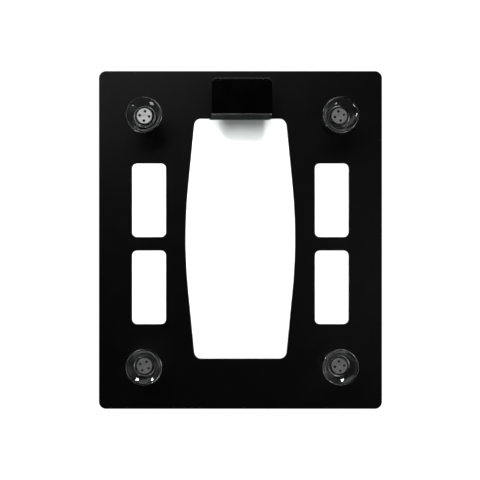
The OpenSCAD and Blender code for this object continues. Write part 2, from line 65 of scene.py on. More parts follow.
MM = 0.001
CORNERS = ("toe_right", "toe_left", "heel_right", "heel_left")
FOOT_BODY = {c: "foot_" + c for c in CORNERS}


def low(node):
    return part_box(node)[0]


def high(node):
    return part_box(node)[1]


def middle(node):
    lo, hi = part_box(node)
    return (lo + hi) / 2


# ---------------------------------------------------------------- camera

UNDERSIDE = low("tray").z
VIEW_DISTANCE = 414.2 * MM
VIEW_X, VIEW_Y = 36.5 * MM, -5.3 * MM


def make_camera():
    """Looks straight up at the underside from a little off centre. The shift centres it in the frame."""
    data = bpy.data.cameras.new("camera")
    data.sensor_width = 36
    data.lens = 29.325
    data.shift_x, data.shift_y = 0.0708, 0.0104
    data.clip_start = 0.01
    camera = bpy.data.objects.new("camera", data)
    scene.collection.objects.link(camera)
    camera.location = (VIEW_X, VIEW_Y, UNDERSIDE - VIEW_DISTANCE)
    camera.rotation_euler = (0, math.pi, 0)
    scene.camera = camera


make_camera()

# ---------------------------------------------------------------- outlines


def arc(cx, cy, r, a0, a1, n):
    """Points on an arc, with the angles in degrees."""
    angles = [math.radians(a0 + (a1 - a0) * i / n) for i in range(n + 1)]
    return [(cx + r * math.cos(a), cy + r * math.sin(a)) for a in angles]


def rounded(corners, r, n=8):
    """A closed outline with each corner turned into an arc. r is one radius, or one for each corner."""
    out = []
    count = len(corners)
    for i, here in enumerate(corners):
        radius = r[i] if isinstance(r, (list, tuple)) else r
        p = Vector(here)
        to_last = (Vector(corners[i - 1]) - p).normalized()
        to_next = (Vector(corners[(i + 1) % count]) - p).normalized()
        half = to_last.angle(to_next) / 2
        if radius <= 0 or half > math.radians(88):
            out.append((p.x, p.y))
            continue
        reach = radius / math.tan(half)
        centre = p + (to_last + to_next).normalized() * (radius / math.sin(half))
        start, end = p + to_last * reach - centre, p + to_next * reach - centre
        a0 = math.atan2(start.y, start.x)
        turn = (math.atan2(end.y, end.x) - a0 + math.pi) % (2 * math.pi) - math.pi
        for k in range(n + 1):
            a = a0 + turn * k / n
            out.append((centre.x + radius * math.cos(a), centre.y + radius * math.sin(a)))
    return out


def rectangle(cx, cy, w, l, r, n=10):
    x, y = w / 2, l / 2
    return rounded([(cx - x, cy - y), (cx + x, cy - y), (cx + x, cy + y), (cx - x, cy + y)], r, n)


def disk(cx, cy, r, n=48):
    return arc(cx, cy, r, 0, 360 - 360 / n, n - 1)


def shift(loop, d):
    """A closed outline moved to its left by d, mitred."""
    out = []
    count = len(loop)
    for i, here in enumerate(loop):
        p = Vector(here)
        before = (p - Vector(loop[i - 1])).normalized()
        after = (Vector(loop[(i + 1) % count]) - p).normalized()
        side = Vector((-before.y - after.y, before.x + after.x))
        side.normalize()
        out.append(tuple(p + side * (d / max(0.3, side.dot(Vector((-before.y, before.x)))))))
    return out


# ---------------------------------------------------------------- mesh builders


def add_slab(bm, outline, holes, z0, z1, edge=0.0, steps=4, edge_top=None):
    """A plate between z0 and z1 with rounded edges. Its outline and its holes run anticlockwise."""
    top = edge if edge_top is None else edge_top
    loops = [outline] + [list(reversed(h)) for h in holes]
    levels = [(edge * (1 - math.sin(a)), z0 + edge * (1 - math.cos(a))) for a in quarter(steps, edge)]
    levels += [(top * (1 - math.sin(a)), z1 - top * (1 - math.cos(a))) for a in reversed(quarter(steps, top))]
    rings = []
    for loop in loops:
        rings.append([[bm.verts.new((x, y, z)) for x, y in shift(loop, d)] for d, z in levels])
    for ring in rings:
        for lower, upper in zip(ring, ring[1:]):
            for i in range(len(lower)):
                bm.faces.new((lower[i - 1], lower[i], upper[i], upper[i - 1]))
    for level, flip in ((0, True), (-1, False)):
        verts = [v for ring in rings for v in ring[level]]
        flat = [[v.co.copy() for v in ring[level]] for ring in rings]
        for tri in tessellate_polygon(flat):
            corner = [verts[i] for i in tri]
            normal = (corner[1].co - corner[0].co).cross(corner[2].co - corner[0].co)
            if (normal.z > 0) == flip:
                corner.reverse()
            bm.faces.new(corner)


def quarter(steps, edge):
    return [math.pi / 2 * i / steps for i in range(steps + 1)] if edge else [math.pi / 2]


def add_revolved(bm, centre, profile, n=96):
    """A closed profile of (radius, height) points turned round a vertical axis."""
    rings = []
    for k in range(n):
        a = 2 * math.pi * k / n
        c, s = math.cos(a), math.sin(a)
        rings.append([bm.verts.new((centre[0] + r * c, centre[1] + r * s, z)) for r, z in profile])
    for ring, following in zip(rings, rings[1:] + rings[:1]):
        for i in range(len(profile)):
            if profile[i][0] < 1e-6 and profile[i - 1][0] < 1e-6:
                continue
            bm.faces.new((ring[i - 1], ring[i], following[i], following[i - 1]))
    if any(r < 1e-6 for r, _ in profile):
        bmesh.ops.remove_doubles(bm, verts=bm.verts, dist=1e-7)


def add_block(bm, lo, hi, edge=0.0, r=0.0, n=4):
    cx, cy = (lo[0] + hi[0]) / 2, (lo[1] + hi[1]) / 2
    outline = rectangle(cx, cy, hi[0] - lo[0], hi[1] - lo[1], max(r, edge), n)
    add_slab(bm, outline, [], lo[2], hi[2], edge, 3)


def add_rod(bm, a, b, r, n=32):
    """A round rod from point a to point b, with slightly eased ends."""
    a, b = Vector(a), Vector(b)
    ease = min(r * 0.2, (b - a).length * 0.2)
    axis = (b - a).normalized()
    turn = axis.to_track_quat("Z", "Y")
    levels = ((a, r - ease), (a + axis * ease, r), (b - axis * ease, r), (b, r - ease))
    rings = []
    for at, radius in levels:
        points = arc(0, 0, radius, 0, 360 - 360 / n, n - 1)
        rings.append([bm.verts.new(at + turn @ Vector((x, y, 0))) for x, y in points])
    for lower, upper in zip(rings, rings[1:]):
        for i in range(n):
            bm.faces.new((lower[i - 1], lower[i], upper[i], upper[i - 1]))
    bm.faces.new(list(reversed(rings[0])))
    bm.faces.new(rings[-1])


def piece(name, build, material, body, replaces=(), origin=(0, 0, 0)):
    """Makes a mesh piece from build(bm), and says what it rides on and stands for."""
    bm = bmesh.new()
    build(bm)
    bmesh.ops.translate(bm, verts=bm.verts, vec=-Vector(origin))
    bmesh.ops.recalc_face_normals(bm, faces=bm.faces)
    for edge in bm.edges:
        edge.smooth = len(edge.link_faces) == 2 and edge.calc_face_angle(0) < math.radians(32)
    for face in bm.faces:
        face.smooth = True
    mesh = bpy.data.meshes.new(name)
    bm.to_mesh(mesh)
    bm.free()
    mesh.materials.append(material)
    obj = bpy.data.objects.new(name, mesh)
    scene.collection.objects.link(obj)
    obj.location = origin
    weigh(obj)
    return settle(obj, body, replaces)


def weigh(obj):
    normals = obj.modifiers.new("weighted normals", "WEIGHTED_NORMAL")
    normals.keep_sharp = True


def settle(obj, body, replaces=()):
    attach(obj, body)
    if replaces:
        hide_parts(*replaces)
    return obj


def wire(name, runs, radius, material, body, replaces=()):
    """One curve piece with a round section along each run of points."""
    curve = bpy.data.curves.new(name, "CURVE")
    curve.dimensions = "3D"
    curve.bevel_depth = radius
    curve.bevel_resolution = 4
    curve.use_fill_caps = True
    for run in runs:
        spline = curve.splines.new("POLY")
        spline.points.add(len(run) - 1)
        for point, at in zip(spline.points, run):
            point.co = (*at, 1)
    curve.materials.append(material)
    obj = bpy.data.objects.new(name, curve)
    scene.collection.objects.link(obj)
    return settle(obj, body, replaces)


def dress(node, material, edge=0.0):
    """A CAD node that stays: its material, and a small rounding of its edges."""
    obj = nodes[node]
    obj.data.materials.clear()
    obj.data.materials.append(material)
    if edge:
        bevel = obj.modifiers.new("eased edges", "BEVEL")
        bevel.width, bevel.segments = edge, 2
        bevel.limit_method, bevel.angle_limit = "ANGLE", math.radians(40)
        bevel.harden_normals = True
    return obj


# ---------------------------------------------------------------- materials


class Tree:
    """A material's node tree, with short calls for the nodes that are used here."""

    def __init__(self, name):
        self.material = bpy.data.materials.new(name)
        self.material.use_nodes = True
        self.nodes = self.material.node_tree.nodes
        self.links = self.material.node_tree.links
        self.shader = self.nodes["Principled BSDF"]
        self.coords = self.nodes.new("ShaderNodeTexCoord").outputs["Object"]

    def noise(self, scale, detail=3.0, rough=0.55, vector=None):
        node = self.nodes.new("ShaderNodeTexNoise")
        node.inputs["Scale"].default_value = scale
        node.inputs["Detail"].default_value = detail
        node.inputs["Roughness"].default_value = rough
        self.links.new(vector or self.coords, node.inputs["Vector"])
        return node.outputs["Fac"]

    def stretched(self, factors):
        node = self.nodes.new("ShaderNodeMapping")
        node.inputs["Scale"].default_value = factors
        self.links.new(self.coords, node.inputs["Vector"])
        return node.outputs["Vector"]

    def spread(self, value, lo, hi, from_lo=0.3, from_hi=0.7):
        node = self.nodes.new("ShaderNodeMapRange")
        node.inputs["From Min"].default_value = from_lo
        node.inputs["From Max"].default_value = from_hi
        node.inputs["To Min"].default_value = lo
        node.inputs["To Max"].default_value = hi
        self.links.new(value, node.inputs["Value"])
        return node.outputs["Result"]

    def between(self, value, a, b):
        node = self.nodes.new("ShaderNodeMix")
        node.data_type = "RGBA"
        self.links.new(value, node.inputs["Factor"])
        node.inputs[6].default_value = (*a, 1)
        node.inputs[7].default_value = (*b, 1)
        return node.outputs[2]

    def bump(self, height, distance, strength=1.0, normal=None):
        node = self.nodes.new("ShaderNodeBump")
        node.inputs["Distance"].default_value = distance
        node.inputs["Strength"].default_value = strength
        self.links.new(height, node.inputs["Height"])
        if normal:
            self.links.new(normal, node.inputs["Normal"])
        return node.outputs["Normal"]

    def to(self, socket, value):
        self.links.new(value, self.shader.inputs[socket])

    def set(self, **values):
        for name, value in values.items():
            self.shader.inputs[name.replace("_", " ")].default_value = value


def moulded(name, colour, rough, rough_by=0.06, grain=2500, depth=0.02, spread=0.2, specular=0.5):
    """Moulded plastic: fine spark-eroded grain, faint flow patches and uneven gloss."""
    t = Tree(name)
    dark = tuple(c * (1 - spread) for c in colour)
    light = tuple(c * (1 + spread) for c in colour)
    t.to("Base Color", t.between(t.spread(t.noise(14, 4), 0, 1), dark, light))
    t.to("Roughness", t.spread(t.noise(60, 5), rough - rough_by, rough + rough_by))
    fine = t.bump(t.noise(grain, 2), depth * MM)
    t.to("Normal", t.bump(t.noise(35, 2), 0.03 * MM, 1.0, fine))
    t.set(Specular_IOR_Level=specular)
    return t.material


def metal(name, colour, rough, rough_by=0.08, stretch=(1, 1, 1), grain=900, depth=0.01, bare=1.0):
    """Bare or plated metal with fine drawn lines and a little staining."""
    t = Tree(name)
    dull = tuple(c * 0.78 for c in colour)
    t.to("Base Color", t.between(t.spread(t.noise(90, 5), 0, 1), dull, colour))
    lines = t.noise(grain, 3, vector=t.stretched(stretch))
    t.to("Roughness", t.spread(lines, rough - rough_by, rough + rough_by))
    t.to("Normal", t.bump(lines, depth * MM))
    t.set(Metallic=bare)
    return t.material


def clear(name, colour, ior, rough, rough_by=0.0, waviness=0.0, scale=40):
    """Clear glass or plastic, with a faint unevenness of its surface."""
    t = Tree(name)
    pale = tuple(min(1.0, c * 1.02) for c in colour)
    t.to("Base Color", t.between(t.spread(t.noise(6, 2), 0, 1), colour, pale))
    if rough_by:
        t.to("Roughness", t.spread(t.noise(scale * 4, 4), max(0, rough - rough_by), rough + rough_by))
    else:
        t.set(Roughness=rough)
    t.to("Normal", t.bump(t.noise(scale, 2), waviness * MM))
    t.set(Transmission_Weight=1.0, IOR=ior)
    return t.material


black_tray = moulded("tray plastic", (0.0125, 0.0125, 0.0132), 0.46, 0.05, 2600, 0.010, 0.12, 0.42)
black_box = moulded("box plastic", (0.002, 0.002, 0.0022), 0.24, 0.04, 1800, 0.003, 0.15, 0.25)
matt_box = moulded("box wall plastic", (0.006, 0.006, 0.0065), 0.45, 0.05, 1800, 0.006, 0.15, 0.02)
black_foam = moulded("foam tape", (0.010, 0.010, 0.011), 0.85, 0.08, 1200, 0.10, 0.3, 0.2)
white_nylon = moulded("white nylon", (0.62, 0.60, 0.55), 0.45, 0.08, 1200, 0.02, 0.05)
dark_nylon = moulded("dark nylon", (0.05, 0.05, 0.055), 0.5, 0.08, 1500, 0.02)
lead_jacket = moulded("lead jacket", (0.03, 0.03, 0.033), 0.5, 0.08, 900, 0.02)
red_jacket = moulded("wire jacket", (0.35, 0.02, 0.015), 0.38, 0.06, 900, 0.01)
solder_mask = moulded("solder mask", (0.012, 0.105, 0.045), 0.28, 0.08, 700, 0.015)
rubber_strip = moulded("contact rubber", (0.45, 0.20, 0.26), 0.6, 0.08, 900, 0.03)
film = moulded("gauge film", (0.45, 0.20, 0.03), 0.35, 0.08, 1600, 0.01)
disc_steel = metal("disc steel", (0.80, 0.80, 0.80), 0.44, 0.06, (1, 1, 1), 700, 0.006, 0.45)
# Near-black matt material, used only on the discs' hole walls: painted shade inside the holes.
painted_hole_shade = moulded("painted hole shade", (0.004, 0.004, 0.004), 0.7, 0.08, 900, 0.01, 0.2, 0.02)
zinc_steel = metal("zinc plate", (0.58, 0.58, 0.60), 0.34, 0.10, (1, 1, 0.1), 1400, 0.006)
spring_steel = metal("nickel plate", (0.66, 0.65, 0.63), 0.22, 0.06, (1, 1, 1), 1800, 0.004)
black_zinc = metal("black zinc", (0.12, 0.12, 0.13), 0.36, 0.08, (1, 1, 1), 1500, 0.006)
cell_steel = metal("cell steel", (0.55, 0.55, 0.56), 0.36, 0.10, (0.05, 1, 1), 2500, 0.006)
glass = clear("tempered glass", (0.955, 0.985, 0.975), 1.5, 0.0, 0.0, 0.002, 25)
clear_pvc = clear("clear pvc", (0.93, 0.95, 0.96), 1.53, 0.035, 0.02, 0.006, 90)

# ---------------------------------------------------------------- windows and platform

TRAY_LO, TRAY_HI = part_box("tray")
GLASS_LO, GLASS_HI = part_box("glass_platform")
PLATFORM_R = 7.5 * MM
LIP = 4 * MM
WINDOW_WALL = 2 * MM
OUTER_WALL = 3 * MM
FLOOR = 2 * MM
CENTRE_Y = 1.4 * MM
CENTRE_HALF_W = 58.1 * MM
CENTRE_HALF_L = 127.4 * MM
BOW_R = 572 * MM
BOW_HALF_L = 56 * MM
CENTRE_CORNER_R = 7.4 * MM
SIDE_SIZE = (36 * MM, 78 * MM)
SIDE_CORNER_R = 5.3 * MM
SIDE_CENTRES = [(s * 97 * MM, y * MM) for s in (-1, 1) for y in (42.2, -50.3)]


def centre_window(grow=0.0):
    """The barrel outline: bowed sides, straight tapers and round corners."""
    r, cx = BOW_R + grow, CENTRE_HALF_W - BOW_R
    a = math.asin(BOW_HALF_L / BOW_R)
    xa, ya = cx + r * math.cos(a), r * math.sin(a)
    rc = CENTRE_CORNER_R + grow
    yc = CENTRE_HALF_L + grow - rc
    xc = xa - (rc + (yc - ya) * math.sin(a)) / math.cos(a)
    quarter_turn = arc(cx, 0, r, 0, math.degrees(a), 12) + arc(xc, yc, rc, math.degrees(a), 90, 10)
    left = [(-x, y) for x, y in reversed(quarter_turn)]
    right_low = [(x, -y) for x, y in reversed(quarter_turn)]
    left_low = [(-x, -y) for x, y in quarter_turn]
    loop = quarter_turn + left + left_low + right_low
    tidy = [p for i, p in enumerate(loop) if (Vector(p) - Vector(loop[i - 1])).length > 1e-6]
    return [(x, y + CENTRE_Y) for x, y in tidy]


def side_window(centre, grow=0.0):
    return rectangle(*centre, SIDE_SIZE[0] + 2 * grow, SIDE_SIZE[1] + 2 * grow, SIDE_CORNER_R + grow)


def all_windows(grow=0.0):
    return [centre_window(grow)] + [side_window(c, grow) for c in SIDE_CENTRES]


def platform_outline(lo, hi, r):
    return rectangle((lo.x + hi.x) / 2, (lo.y + hi.y) / 2, hi.x - lo.x, hi.y - lo.y, r, 16)


def build_glass(bm):
    add_slab(bm, platform_outline(GLASS_LO, GLASS_HI, PLATFORM_R - 0.4 * MM), [],
             GLASS_LO.z, GLASS_HI.z, 0.9 * MM, 5)


def build_gasket(bm):
    lo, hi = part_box("bonding_gasket")
    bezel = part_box("lcd_bezel")
    display = rectangle(*middle("lcd_bezel").xy, bezel[1].x - bezel[0].x + 0.4 * MM,
                        bezel[1].y - bezel[0].y + 0.4 * MM, 0.4 * MM, 3)
    outline = platform_outline(lo, hi, PLATFORM_R - 1.2 * MM)
    add_slab(bm, outline, all_windows(LIP - 0.6 * MM) + [display], lo.z, hi.z, 0.15 * MM, 2)


piece("platform_glass", build_glass, glass, "platform", ["glass_platform"])
piece("foam_gasket", build_gasket, black_foam, "platform", ["bonding_gasket"])

EDGE = 0.35 * MM
BAY = rectangle(0, 146.6 * MM, 55 * MM, 22 * MM, 0.5 * MM, 3)
BAY_WALL_X = 33 * MM
BAY_WALL_Y0, BAY_WALL_Y1 = 129.6 * MM, 166 * MM
BUSH_R = 4.8 * MM
POCKET = 33 * MM
POCKET_WALL = 1.8 * MM
LEDGE = 2.6 * MM
CELL_Z = low("cell_toe_right").z


def build_tray(bm):
    floor_top = TRAY_LO.z + FLOOR
    feet = [disk(middle("disc_" + c).x, middle("disc_" + c).y, BUSH_R) for c in CORNERS]
    outline = platform_outline(TRAY_LO, TRAY_HI, PLATFORM_R)
    add_slab(bm, outline, all_windows() + feet + [BAY], TRAY_LO.z, floor_top, EDGE, 4, 0.2 * MM)
    inner = shift(outline, OUTER_WALL)
    add_slab(bm, outline, [inner], floor_top - 0.25 * MM, TRAY_HI.z, 0, 2, 0.3 * MM)
    wall_z = floor_top - 0.1 * MM
    for centre in SIDE_CENTRES:
        add_slab(bm, side_window(centre, LIP + WINDOW_WALL), [side_window(centre, LIP)],
                 wall_z, TRAY_HI.z, 0, 2, 0.25 * MM)
    add_slab(bm, centre_window(LIP + WINDOW_WALL), [centre_window(LIP)],
             wall_z, TRAY_HI.z, 0, 2, 0.25 * MM)
    block = rounded([(-BAY_WALL_X, BAY_WALL_Y0), (BAY_WALL_X, BAY_WALL_Y0),
                     (BAY_WALL_X, BAY_WALL_Y1), (-BAY_WALL_X, BAY_WALL_Y1)], 0.6 * MM, 3)
    add_slab(bm, block, [BAY], wall_z, TRAY_HI.z, 0, 2, 0.2 * MM)
    for c in CORNERS:
        at = middle("disc_" + c)
        outside = POCKET + 2 * POCKET_WALL
        outer = rectangle(at.x, at.y, outside, outside, 1 * MM, 4)
        inner = rectangle(at.x, at.y, POCKET, POCKET, 0.4 * MM, 3)
        ledge = rectangle(at.x, at.y, POCKET - 2 * LEDGE, POCKET - 2 * LEDGE, 0.4 * MM, 3)
        step = rectangle(at.x, at.y, POCKET, POCKET, 0.3 * MM, 3)
        add_slab(bm, outer, [inner], wall_z, TRAY_HI.z, 0, 2, 0.2 * MM)
        add_slab(bm, step, [ledge], wall_z, CELL_Z)


piece("tray_shell", build_tray, black_tray, "platform", ["tray"])

# ---------------------------------------------------------------- feet

HOLES_R, HOLE_R = 4.8 * MM, 1.3 * MM
DIMPLE_R, DIMPLE_DEPTH = 1.1 * MM, 0.5 * MM


def cup_profile():
    """The cup's section: from its bore round by the recess, the lip and the outside. Given in millimetres."""
    web, recess, top, flange = 5.6, 3.9, 9.4, 8.0
    inner = [(9.8 + 7 * t, 4.5 - 1.4 * t - 2.8 * t * t) for t in (i / 14 for i in range(15))]
    outer = [(17.1 - 6.1 * t, 2 + 5.2 * t - 0.9 * t * t) for t in (i / 10 for i in range(11))]
    corners = [(3.05, web), (8.7, web), (8.7, recess), (9.5, recess)] + inner
    corners += [(17.0, 0), (17.8, 0), (18.1, 0.3), (18.1, 0.9), (17.6, 1.6)] + outer
    corners += [(10.5, 7.0), (10.5, 9.1), (9.9, top), (6.7, top), (6.7, flange), (3.05, flange)]
    radii = [0, 0.3, 0.25, 0.25] + [0.1] + [0] * 13 + [0.1]
    radii += [0.1, 0.25, 0.25, 0.3, 0.3] + [0.2] + [0] * 9 + [0.2]
    radii += [0.3, 0.3, 0.3, 0.2, 0.2, 0]
    return [(r * MM, z * MM) for r, z in rounded(corners, radii, 4)]


def build_cup(centre):
    def build(bm):
        add_revolved(bm, centre, cup_profile(), 128)
    return build


def build_disc(node, turn):
    """The perforated disc: a face plate with four holes and a centre dimple, on a solid back."""
    lo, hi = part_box(node)
    centre = middle(node)

    def build(bm):
        r = (hi.x - lo.x) / 2
        holes = []
        for k in range(4):
            a = math.radians(90 * k + turn)
            holes.append(disk(centre.x + HOLES_R * math.cos(a), centre.y + HOLES_R * math.sin(a), HOLE_R, 28))
        face = lo.z + DIMPLE_DEPTH
        dimple = disk(*centre.xy, DIMPLE_R, 28)
        add_slab(bm, disk(*centre.xy, r, 96), holes + [dimple], lo.z, face, 0.15 * MM, 4, 0)
        add_slab(bm, disk(*centre.xy, r, 96), holes, face, hi.z, 0, 2, 0.1 * MM)
        # Hole walls above the face's eased rim take the second material, which is painted shade inside the
        # holes.
        for f in bm.faces:
            mid = f.calc_center_median()
            in_hole = abs((mid - centre).xy.length - HOLES_R) < 1.05 * HOLE_R
            f.material_index = int(in_hole and lo.z + 0.2 * MM < mid.z)
    return build


TURN = {"toe_right": 7, "toe_left": -14, "heel_right": 27, "heel_left": -9}
for c in CORNERS:
    at = middle("disc_" + c)
    piece("foot_cup_" + c, build_cup(at.xy), clear_pvc, FOOT_BODY[c], ["cup_" + c])
    # Each disc's second material slot is the painted shade for its hole walls.
    piece("foot_disc_" + c, build_disc("disc_" + c, TURN[c]), disc_steel, FOOT_BODY[c],
          ["disc_" + c], origin=at).data.materials.append(painted_hole_shade)
    dress("stud_" + c, black_zinc)
    dress("clip_" + c, spring_steel, 0.1 * MM)


def collar_profile():
    lo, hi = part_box("foot_collars")
    r, flange = 10.5 * MM, 13 * MM
    corners = [(BUSH_R, lo.z), (r - 0.8 * MM, lo.z), (r, lo.z + 0.8 * MM), (r, hi.z - 2.6 * MM),
               (r + 1 * MM, hi.z - 1.6 * MM), (flange, hi.z - 1.6 * MM), (flange, hi.z), (BUSH_R, hi.z)]
    return rounded(corners, [0.2 * MM, 0.4 * MM, 0.4 * MM, 0.6 * MM, 0.5 * MM, 0.5 * MM, 0, 0], 4)


def build_collars(bm):
    for c in CORNERS:
        add_revolved(bm, middle("disc_" + c).xy, collar_profile(), 64)


piece("collars", build_collars, black_tray, "platform", ["foot_collars"])
dress("foot_bushes", white_nylon, 0.15 * MM)

# ---------------------------------------------------------------- load cells and leads

for c in CORNERS:
    dress("cell_" + c, cell_steel, 0.12 * MM)
    dress("lead_" + c, lead_jacket, 0.25 * MM)
dress("cell_spacers", dark_nylon, 0.15 * MM)
dress("strain_gauges", film, 0.04 * MM)

# ---------------------------------------------------------------- display box

SHELL_LO, SHELL_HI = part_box("display_housing")
BOX_X = SHELL_HI.x
BOX_Y0, BOX_Y1 = SHELL_LO.y, SHELL_HI.y
CHAMFER = 4 * MM
SHELL_Z = 5.7 * MM
SHELF_Z = 16.6 * MM
SHELF_T = 1.2 * MM
BOX_WALL = 2 * MM
HINGE = Vector((0, 163.2 * MM, 4.2 * MM))
HINGE_R = 1.2 * MM
EAR_X, EAR_W = 23.4 * MM, 2.8 * MM
CLEARANCE = 0.3 * MM
BUTTON_HALF = 4.5 * MM
BUTTON_Z = 18 * MM
BORE_R = 1 * MM
BOSS_R, BOSS_TOP, BOSS_X = 2.4 * MM, 21 * MM, 25 * MM
BOSS_YS = (132 * MM, 160.2 * MM)
POST_R, POST_TOP = 2 * MM, 21.4 * MM
POST_X, POST_Y = 24.8 * MM, 155.2 * MM
RIB_X, RIB_HALF_W = 18 * MM, 0.6 * MM
RIB_Y0, RIB_Y1 = 134.05 * MM, 156.05 * MM
LATCH_X, LATCH_Y0, LATCH_Y1 = 7 * MM, 2.5 * MM, 3.7 * MM


def box_outline(inset=0.0):
    w = BOX_X - inset
    y0, y1 = BOX_Y0 + inset, BOX_Y1 - inset
    cut = CHAMFER - inset * (2 - math.sqrt(2))
    corners = [(-w, y0), (w, y0), (w, y1 - cut), (w - cut, y1), (cut - w, y1), (-w, y1 - cut)]
    soft = 0.5 * MM
    return rounded(corners, [0.9 * MM, 0.9 * MM, soft, soft, soft, soft], 6)


def build_housing(bm):
    """Walls with the button's slot, the shelf above the batteries, screw bosses and the hinge's ears."""
    add_slab(bm, box_outline(), [box_outline(BOX_WALL)], SHELL_Z, BUTTON_Z, 0.35 * MM, 3, 0)
    ring = open_ring(box_outline(), box_outline(BOX_WALL), BUTTON_HALF + CLEARANCE)
    add_slab(bm, ring, [], BUTTON_Z, TRAY_LO.z, 0)
    add_slab(bm, box_outline(BOX_WALL - 0.5 * MM), [], SHELF_Z, SHELF_Z + SHELF_T, 0)
    for x in (-1, 1):
        for y in BOSS_YS:
            add_boss(bm, (x * BOSS_X, y), BOSS_R, BOSS_TOP)
        add_boss(bm, (x * POST_X, POST_Y), POST_R, POST_TOP)
        x0, x1 = x * EAR_X - EAR_W / 2, x * EAR_X + EAR_W / 2
        add_block(bm, (x0, HINGE.y - HINGE_R, HINGE.z), (x1, HINGE.y + HINGE_R, SHELL_Z + 1 * MM), 0.1 * MM)
        add_rod(bm, (x0, HINGE.y, HINGE.z), (x1, HINGE.y, HINGE.z), HINGE_R, 32)
    for f in bm.faces:
        f.material_index = int(f.calc_center_median().z < SHELL_Z - 0.05 * MM)


def add_boss(bm, at, r, top):
    """A screw boss that stands on the shelf."""
    add_slab(bm, disk(*at, r, 32), [disk(*at, BORE_R, 32)], SHELF_Z, top, 0)


def open_ring(outside, inside, half):
    """A wall's outline with a gap of 2 x half in the middle of its +Y side, as one loop."""
    def cut(loop):
        top = max(y for _, y in loop)
        start = min(range(len(loop)), key=lambda i: (abs(loop[i][1] - top) > 1e-6, loop[i][0]))
        turned = loop[start:] + loop[:start]
        return [(-half, top)] + turned + [(half, top)]
    outer, inner = cut(outside), cut(inside)
    return outer + list(reversed(inner))


def build_door(bm):
    """The lower plate with eased edges, the hinge barrel, two ribs and the latch tongue."""
    lo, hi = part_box("battery_door")
    top = lo.z + 2 * HINGE_R
    inset = 0.15 * MM
    w = BOX_X - inset
    y0 = BOX_Y0 + inset
    notch_lo, notch_hi = EAR_X - EAR_W / 2 - CLEARANCE, EAR_X + EAR_W / 2 + CLEARANCE
    notch_y = HINGE.y - HINGE_R - CLEARANCE
    side_x = w - (CHAMFER - (BOX_Y1 - inset - HINGE.y))
    cut_y = BOX_Y1 - CHAMFER
    right = [(w, cut_y), (side_x, HINGE.y), (notch_hi, HINGE.y),
             (notch_hi, notch_y), (notch_lo, notch_y), (notch_lo, HINGE.y)]
    left = [(-x, y) for x, y in reversed(right)]
    outline = [(-w, y0), (w, y0)] + right + left
    radii = [0.9 * MM] * 2 + [0.6 * MM] + [0.05 * MM] * 5 + [0.05 * MM] * 5 + [0.6 * MM]
    add_slab(bm, rounded(outline, radii, 6), [], lo.z, top, 0.5 * MM, 5, 0.2 * MM)
    for a, b in ((-side_x, -notch_hi), (-notch_lo, notch_lo), (notch_hi, side_x)):
        add_rod(bm, (a, HINGE.y, HINGE.z), (b, HINGE.y, HINGE.z), HINGE_R, 48)
    for x in (-RIB_X, RIB_X):
        add_block(bm, (x - RIB_HALF_W, RIB_Y0, HINGE.z), (x + RIB_HALF_W, RIB_Y1, top + 0.1 * MM), 0.1 * MM)
    add_block(bm, (-LATCH_X, BOX_Y0 + LATCH_Y0, HINGE.z), (LATCH_X, BOX_Y0 + LATCH_Y1, hi.z), 0.3 * MM)


shell = piece("box_shell", build_housing, matt_box, "platform", ["display_housing"])
shell.data.materials.append(black_box)
piece("box_door", build_door, black_box, "door", ["battery_door"])
dress("door_pin", zinc_steel)
dress("housing_screws", black_zinc, 0.08 * MM)
dress("unit_button", black_tray, 0.3 * MM)

# ---------------------------------------------------------------- batteries


def battery_skin():
    """A plain two-tone sleeve, read from the cell's own length."""
    t = Tree("battery sleeve")
    split = t.nodes.new("ShaderNodeSeparateXYZ")
    t.links.new(t.coords, split.inputs["Vector"])
    band = t.nodes.new("ShaderNodeValToRGB")
    band.color_ramp.interpolation = "CONSTANT"
    stops = band.color_ramp.elements
    stops[0].position, stops[0].color = 0.0, (0.42, 0.42, 0.43, 1)
    stops[1].position, stops[1].color = 0.04, (0.018, 0.018, 0.02, 1)
    third = stops.new(0.70)
    third.color = (0.50, 0.30, 0.06, 1)
    last = stops.new(0.955)
    last.color = (0.42, 0.42, 0.43, 1)
    t.links.new(t.spread(split.outputs["X"], 0, 1, -22.25 * MM, 22.25 * MM), band.inputs["Fac"])
    t.to("Base Color", band.outputs["Color"])
    t.to("Roughness", t.spread(t.noise(200, 4), 0.20, 0.34))
    t.to("Normal", t.bump(t.noise(60, 2), 0.02 * MM))
    t.set(Metallic=0.35)
    return t.material


def build_battery(node):
    lo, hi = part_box(node)
    r = (hi.z - lo.z) / 2
    half = (hi.x - lo.x) / 2

    def build(bm):
        corners = [(0, -half), (r - 0.9 * MM, -half), (r - 0.9 * MM, 0.25 * MM - half), (r, 0.45 * MM - half),
                   (r, half - 1.7 * MM), (r - 1 * MM, half - 1.2 * MM), (2.0 * MM, half - 1.2 * MM),
                   (1.9 * MM, half), (0, half)]
        soft = [0, 0.1 * MM, 0.1 * MM, 0.3 * MM, 0.4 * MM, 0.2 * MM, 0.1 * MM, 0.3 * MM, 0]
        add_revolved(bm, (0, 0), rounded(corners, soft, 3), 72)
        for v in bm.verts:
            x, y, z = v.co
            v.co = (z, y, -x)
    return build


sleeve = battery_skin()
for node, name, way in (("battery_front", "aaa_front", 0), ("battery_rear", "aaa_rear", math.pi)):
    obj = piece(name, build_battery(node), sleeve, "platform", [node])
    obj.location = middle(node)
    obj.rotation_euler = (0, 0, way)


def flat_end(side):
    """The middle of the battery whose flat end is on this side, and that end's x."""
    cell = "battery_front" if side > 0 else "battery_rear"
    return middle(cell), low(cell).x if side > 0 else high(cell).x


def spring_run(side):
    """A conical spring of three and a half turns on a battery's flat end."""
    at, end = flat_end(side)
    out = []
    steps = 120
    for i in range(steps + 1):
        t = i / steps
        a = 2 * math.pi * 3.5 * t
        r = (3.3 - 1.1 * t) * MM
        out.append((end - side * (3.3 * (1 - t) + 0.35) * MM, at.y + r * math.cos(a), at.z + r * math.sin(a)))
    return out


PLATE_HALF = 4.4 * MM


